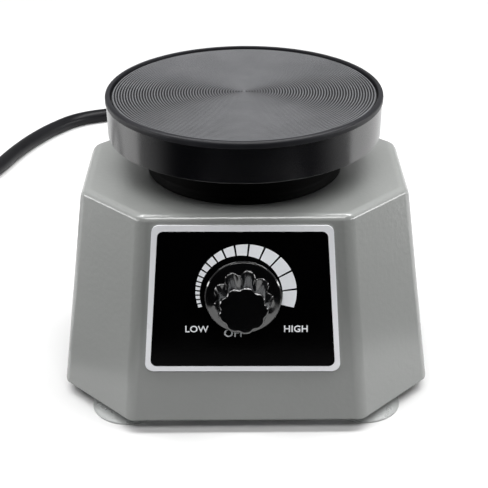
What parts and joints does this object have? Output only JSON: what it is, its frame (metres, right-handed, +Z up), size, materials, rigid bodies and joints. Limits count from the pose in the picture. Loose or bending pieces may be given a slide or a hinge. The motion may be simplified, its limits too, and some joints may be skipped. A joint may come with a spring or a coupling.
{
  "type": "vortex mixer",
  "caption": "Small mains laboratory vibrator with a tapering octagonal housing, a round ribbed vibrating plate, a dial on its front and suction-cup feet.",
  "frame": {"origin": "centre of the object's footprint box on the table, without the mains cord", "axes": "+Z up, +X to the right when facing the control panel, +Y from the control panel to the rear"},
  "size_m": [0.3214, 0.3242, 0.1125],
  "materials": {
    "housing_paint": "satin",
    "sheet_steel": "satin",
    "screw_steel": "satin",
    "clear_vinyl": "gloss",
    "panel_print": "satin",
    "collar_black": "matte",
    "core_steel": "matte",
    "bobbin_nylon": "satin",
    "copper_enamel": "gloss",
    "spring_steel": "satin",
    "cast_aluminium": "matte",
    "gloss_black": "gloss",
    "pad_rubber": "matte",
    "brass": "satin",
    "shaft_steel": "satin",
    "pot_case": "satin",
    "circuit_board": "satin",
    "black_epoxy": "matte",
    "film_yellow": "gloss",
    "resistor_beige": "satin",
    "fuse_glass": "gloss",
    "block_nylon": "satin",
    "lead_insulation": "satin",
    "cord_rubber": "satin",
    "tie_black": "satin",
    "plug_black": "satin"
  },
  "bodies": {
    "base": {"housing": "housing_paint", "base_plate": "sheet_steel", "base_screws": "screw_steel", "front_left_foot": "clear_vinyl", "front_right_foot": "clear_vinyl", "rear_left_foot": "clear_vinyl", "rear_right_foot": "clear_vinyl", "foot_screws": "screw_steel", "dial_label": "panel_print", "neck_collar": "collar_black", "magnet_bracket": "sheet_steel", "bracket_screws": "screw_steel", "magnet_core": "core_steel", "core_bolts": "screw_steel", "coil_bobbin": "bobbin_nylon", "coil_winding": "copper_enamel", "spring_posts": "shaft_steel", "post_screws": "screw_steel", "front_leaf_spring": "spring_steel", "rear_leaf_spring": "spring_steel", "spring_clamps": "sheet_steel", "clamp_screws": "screw_steel", "pot_body": "pot_case", "pot_bushing": "brass", "pot_washer": "screw_steel", "pot_nut": "brass", "control_board": "circuit_board", "board_standoffs": "brass", "board_screws": "screw_steel", "triac": "black_epoxy", "heat_sink": "cast_aluminium", "capacitor": "film_yellow", "choke": "copper_enamel", "resistors": "resistor_beige", "fuse": "fuse_glass", "fuse_clips": "brass", "terminal_block": "block_nylon", "terminal_screws": "brass", "earth_lug": "brass", "earth_screw": "screw_steel", "lead_wires": "lead_insulation", "strain_relief": "cord_rubber", "relief_clip": "block_nylon", "cord": "cord_rubber", "cord_coil": "cord_rubber", "cord_tail": "cord_rubber", "cord_tie": "tie_black", "plug_body": "plug_black", "plug_pins": "brass"},
    "plate": {"armature": "core_steel", "armature_spacer": "sheet_steel", "hub": "cast_aluminium", "hub_screws": "screw_steel", "plate_cap": "gloss_black", "cap_screws": "screw_steel", "rubber_pad": "pad_rubber"},
    "knob": {"knob": "gloss_black", "knob_insert": "brass", "pot_shaft": "shaft_steel"}
  },
  "joints": [
    {"name": "plate_vibration", "type": "slide", "parent": "base", "child": "plate", "axis": [0, 0, 1], "range_m": [-0.0008, 0.0005], "stiffness_N_per_m": 30000, "springref_m": 0.0002, "deforming": ["front_leaf_spring", "rear_leaf_spring"]},
    {"name": "knob_turn", "type": "hinge", "parent": "base", "child": "knob", "pos_m": [-0.0008, -0.04403, 0.05402], "axis": [0, 0.9902, -0.1396], "range_deg": [0, 280]}
  ]
}
